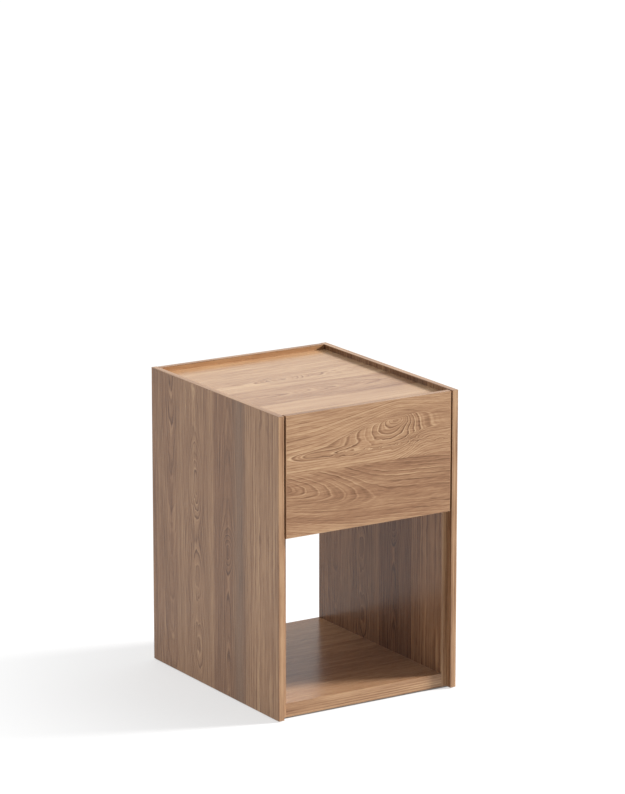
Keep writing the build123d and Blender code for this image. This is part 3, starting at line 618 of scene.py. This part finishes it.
def cast_zinc():
    """Die-cast zinc: fine grain, parting scuffs and a dull lustre."""
    material, tree, shader = new_material("cam_zinc")
    x, y, z = place(tree)
    grain = noise(tree, x / 0.0007, y / 0.0007, z / 0.0007, 3.0, 0.6) - 0.5
    cloud = noise(tree, x / 0.005, y / 0.005, z / 0.005, 2.0) - 0.5
    edge = arris_mask(tree, 0.0005)
    shade = 0.5 + cloud * 0.8 + grain * 0.4 + edge * 0.3
    colour = ramp(tree, shade, [(0.0, ZINC_DARK), (1.0, ZINC_LIGHT)])
    tree.links.new(colour, shader.inputs["Base Color"])
    shader.inputs["Metallic"].default_value = 1.0
    plug(tree, shader.inputs["Roughness"], 0.45 + grain * 0.3 - edge * 0.1)
    relief(tree, shader, grain, 0.00006)
    return material


def plastic(name, dark, light, rough, grain_size, ior=1.5, soft=0.0):
    """Moulded plastic with spark-eroded grain, flow marks and rubbed arrises."""
    material, tree, shader = new_material(name)
    x, y, z = place(tree)
    grain = noise(tree, x / grain_size, y / grain_size, z / grain_size, 2.0, 0.6) - 0.5
    flow = noise(tree, x / 0.008, y / 0.004, z / 0.006, 2.0, 0.5, 0.5) - 0.5
    edge = arris_mask(tree, 0.0005)
    shade = 0.5 + grain * 0.35 + flow * 0.6 + edge * 0.25
    colour = ramp(tree, shade, [(0.0, dark), (1.0, light)])
    tree.links.new(colour, shader.inputs["Base Color"])
    plug(tree, shader.inputs["Roughness"], rough + grain * 0.2 + flow * 0.1 - edge * 0.1)
    shader.inputs["IOR"].default_value = ior
    shader.inputs["Subsurface Weight"].default_value = soft
    shader.inputs["Subsurface Radius"].default_value = (0.002, 0.002, 0.0015)
    relief(tree, shader, grain, 0.00005)
    return material


# ---------------------------------------------------------------- giving nodes their materials


def dress(material, *names):
    """Puts a material in every slot of the named nodes."""
    for name in names:
        slots = NODES[name].material_slots
        for one in slots:
            one.material = material
        if not slots:
            NODES[name].data.materials.append(material)


def dress_veneer():
    dress(front_veneer(), "drawer_front")
    dress(upright_veneer("veneer_upright", 0.0), "left_outer_side")
    dress(upright_veneer("veneer_upright_second", -0.03), "right_outer_side")
    # Painted shade: the niche walls are a darker copy of the side veneer, standing in for the
    # shade inside the niche.
    shaded_niche_wall = upright_veneer("veneer_niche_shaded", 0.0, tone=-0.08, greyness=0.1,
                                ior=NICHE_WALL_LACQUER)
    dress(shaded_niche_wall, "right_inner_side", "left_inner_side")
    dress(level_veneer("veneer_level", 0.0), "top_panel")
    dress(back_veneer(), "back_panel")
    # Painted shade: the niche floor and divider are a darker copy of the top's veneer with a
    # weaker figure, standing in for the shade inside the niche.
    niche_floor = level_veneer("veneer_level_shaded", 0.05, tone=-0.155, boldness=0.5,
                               contrast=0.5, ior=NICHE_FLOOR_LACQUER)
    dress(niche_floor, "niche_floor", "drawer_divider")


def dress_bands():
    bands = [n for n in NODES if n.endswith("_band")]
    upright = [n for n in bands if upright_band(n)]
    deep = [n for n in bands if deep_band(n)]
    level = [n for n in bands if n not in upright and n not in deep]
    dress(edge_band("edge_band_level", X), *level)
    dress(edge_band("edge_band_upright", Z), *upright)
    dress(edge_band("edge_band_deep", Y), *deep)
    # Painted shade: the drawer front's side bands sit in the gaps beside it and are made darker
    # to stand in for the shade there.
    shaded_gap_bands = ["drawer_front_left_band", "drawer_front_right_band"]
    dress(edge_band("edge_band_gap_shaded", Z, tone=0.30), *shaded_gap_bands)


def size_of(name):
    low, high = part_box(name)
    return high - low


def upright_band(name):
    size = size_of(name)
    return size.z > max(size.x, size.y)


def deep_band(name):
    size = size_of(name)
    return size.y > max(size.x, size.z)


def middle_of(name, axis):
    low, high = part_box(name)
    return (low[axis] + high[axis]) / 2


def board(name, along, thick, plies):
    """Dresses one plywood board; its own thickness is divided into plies."""
    ply = size_of(name)[thick] / plies
    dress(plywood(name + "_plywood", along, thick, middle_of(name, thick), ply), name)


BOX_PLIES = 9
BOTTOM_PLIES = 3


def dress_drawer_box():
    board("drawer_box_left_side", Y, X, BOX_PLIES)
    board("drawer_box_right_side", Y, X, BOX_PLIES)
    board("drawer_box_front", X, Y, BOX_PLIES)
    board("drawer_box_back", X, Y, BOX_PLIES)
    board("drawer_bottom", X, Z, BOTTOM_PLIES)


SLIDE_TINT = (0.62, 0.64, 0.66)
CAGE_TINT = (0.55, 0.55, 0.56)
BALL_TINT = (0.80, 0.80, 0.82)
SCREW_TINT = (0.60, 0.60, 0.60)
CAP_DARK = (0.17, 0.09, 0.05)
CAP_LIGHT = (0.30, 0.18, 0.10)
GLIDE_DARK = (0.015, 0.014, 0.013)
GLIDE_LIGHT = (0.05, 0.046, 0.042)
RUBBER_DARK = (0.50, 0.50, 0.47)
RUBBER_LIGHT = (0.72, 0.72, 0.70)


def dress_steel():
    members = [n for n in NODES if n.endswith("_member")]
    cages = [n for n in NODES if "_cage" in n]
    balls = [n for n in NODES if "_balls" in n]
    screws = [n for n in NODES if n.endswith("_screws") or n.endswith("_nails")]
    dress(plated_steel("slide_steel", Y, SLIDE_TINT, rough=0.30, marks=0.5), *members)
    dress(plated_steel("ball_cage", Y, CAGE_TINT, rough=0.36, marks=0.3), *cages)
    dress(plated_steel("ball_steel", Z, BALL_TINT, rough=0.14, marks=0.1), *balls)
    screw_steel = plated_steel("screw_steel", Z, SCREW_TINT, rough=0.32, marks=0.4)
    dress(screw_steel, "cam_bolts", *screws)


def dress_small_parts():
    dress(cast_zinc(), "cam_housings")
    dress(raw_beech(), "carcass_dowels", "drawer_box_dowels")
    caps = plastic("screw_cap", CAP_DARK, CAP_LIGHT, rough=0.45, grain_size=0.0006)
    dress(caps, "back_screw_caps")
    glides = plastic("glide_plastic", GLIDE_DARK, GLIDE_LIGHT, rough=0.5, grain_size=0.0005)
    dress(glides, "glides")
    rubber = plastic("bumper_rubber", RUBBER_DARK, RUBBER_LIGHT, rough=0.3,
                     grain_size=0.0008, ior=1.45, soft=0.5)
    dress(rubber, "drawer_bumpers")


# ---------------------------------------------------------------- floor, light and camera


FLOOR_REACH = 60.0
# Half width, front and back of the strip of floor under the table where a contact shadow is
# painted into the floor's glow.
SHADE_ASIDE = 0.1845
SHADE_FRONT = -0.2065
SHADE_BACK = 0.2160
SHADE_EDGE = 0.003
# Near the table the paint takes shadows; further off it glows white by itself.
NEAR_START = 0.25
NEAR_END = 0.75
NEAR_PAINT = 0.41
FAR_PAINT = 0.06
FLOOR_GLOW = 1.04


def white_floor():
    """A very wide pale floor, so that nothing but floor is behind the table."""
    mesh = bpy.data.meshes.new("floor")
    r = FLOOR_REACH
    mesh.from_pydata([(-r, -r, 0), (r, -r, 0), (r, r, 0), (-r, r, 0)], [], [(0, 1, 2, 3)])
    floor = bpy.data.objects.new("floor", mesh)
    bpy.context.scene.collection.objects.link(floor)
    mesh.materials.append(floor_paint())


def floor_paint():
    """White paint that shows the table's rendered shadow, with a painted contact shadow right
    under it.
    """
    material, tree, shader = new_material("floor_paint")
    x, y, z = place(tree)
    mottle = noise(tree, x / 0.4, y / 0.4, z, 2.0)
    near = fade(root(x * x + y * y), NEAR_START, NEAR_END, NEAR_PAINT, FAR_PAINT)
    outside = higher(absolute(x) - SHADE_ASIDE, higher(SHADE_FRONT - y, y - SHADE_BACK))
    # Painted contact shadow: one inside the table's footprint, zero outside it.
    under = fade(outside, -SHADE_EDGE, 0.0, 1.0, 0.0)
    grey = ramp(tree, near, [(0.0, (0.0, 0.0, 0.0)), (1.0, (1.0, 1.0, 1.0))])
    tree.links.new(grey, shader.inputs["Base Color"])
    plug(tree, shader.inputs["Roughness"], 0.75 + mottle * 0.1)
    shader.inputs["Specular IOR Level"].default_value = 0.0
    shader.inputs["Emission Color"].default_value = (1.0, 1.0, 1.0, 1.0)
    # The glow, cut by the painted contact shadow under the table.
    glow = (FLOOR_GLOW - near * 1.1) * (1.0 - under * 0.85)
    plug(tree, shader.inputs["Emission Strength"], glow)
    return material


# Where the studio is bright, and how bright.
BRIGHT_BACK = ((0.50, 0.83, 0.24), 0.74)
BRIGHT_LEFT = ((-0.84, 0.49, 0.22), 0.50)
DIM_FRONT = 0.08


def studio_world():
    """Soft white, bright to the back right, two thirds as bright to the left, dim in front."""
    world = bpy.data.worlds.new("studio")
    bpy.context.scene.world = world
    world.use_nodes = True
    tree = world.node_tree
    background = tree.nodes["Background"]
    background.inputs["Color"].default_value = (1.0, 1.0, 1.0, 1.0)
    coordinates = tree.nodes.new("ShaderNodeTexCoord")
    glow = DIM_FRONT
    for direction, strength in (BRIGHT_BACK, BRIGHT_LEFT):
        dot = tree.nodes.new("ShaderNodeVectorMath")
        dot.operation = "DOT_PRODUCT"
        tree.links.new(coordinates.outputs["Generated"], dot.inputs[0])
        dot.inputs[1].default_value = direction
        glow = fade(Num(tree, dot.outputs["Value"]), 0.0, 1.0, 0.0, strength) + glow
    plug(tree, background.inputs["Strength"], glow)


def soft_sun(name, direction, strength, angle):
    """A wide soft light far away; direction points from the table to the light."""
    lamp = bpy.data.lights.new(name, "SUN")
    lamp.energy = strength
    lamp.angle = math.radians(angle)
    lamp.color = (1.0, 1.0, 1.0)
    light = bpy.data.objects.new(name, lamp)
    light.rotation_mode = "QUATERNION"
    light.rotation_quaternion = Vector(direction).to_track_quat("Z", "Y")
    bpy.context.scene.collection.objects.link(light)


def towards(azimuth, height):
    """A direction, azimuth in degrees from the right to the front, height above the floor."""
    a = math.radians(azimuth)
    h = math.radians(height)
    return math.cos(a) * math.cos(h), -math.sin(a) * math.cos(h), math.sin(h)


def light_studio():
    studio_world()
    soft_sun("overhead_softbox", towards(20, 84), 0.20 * math.pi, 90)
    soft_sun("side_softbox", towards(18, 24), 2.02 * math.pi, 12)


CAMERA_AT = (-3.7180, -5.9369, 2.2443)
CAMERA_YAW = 32.194
CAMERA_PITCH = 13.863
CAMERA_ROLL = 0.015
CAMERA_LENS = 183.59
SENSOR = 36.0


def photo_camera():
    """A long lens from the front left, well above the top."""
    yaw = math.radians(CAMERA_YAW)
    pitch = math.radians(CAMERA_PITCH)
    roll = math.radians(CAMERA_ROLL)
    ahead = math.cos(pitch)
    forward = Vector((math.sin(yaw) * ahead, math.cos(yaw) * ahead, -math.sin(pitch)))
    level = Vector((math.cos(yaw), -math.sin(yaw), 0.0))
    rise = level.cross(forward)
    right = level * math.cos(roll) + rise * math.sin(roll)
    up = rise * math.cos(roll) - level * math.sin(roll)
    data = bpy.data.cameras.new("camera")
    data.sensor_width = SENSOR
    data.lens = CAMERA_LENS
    data.clip_end = 200.0
    camera = bpy.data.objects.new("camera", data)
    stand = Matrix((right, up, -forward)).transposed().to_4x4()
    stand.translation = Vector(CAMERA_AT)
    camera.matrix_world = stand
    bpy.context.scene.collection.objects.link(camera)
    bpy.context.scene.camera = camera


dress_veneer()
dress_bands()
dress_drawer_box()
dress_steel()
dress_small_parts()
white_floor()
light_studio()
photo_camera()
bpy.context.scene.view_settings.view_transform = "Standard"
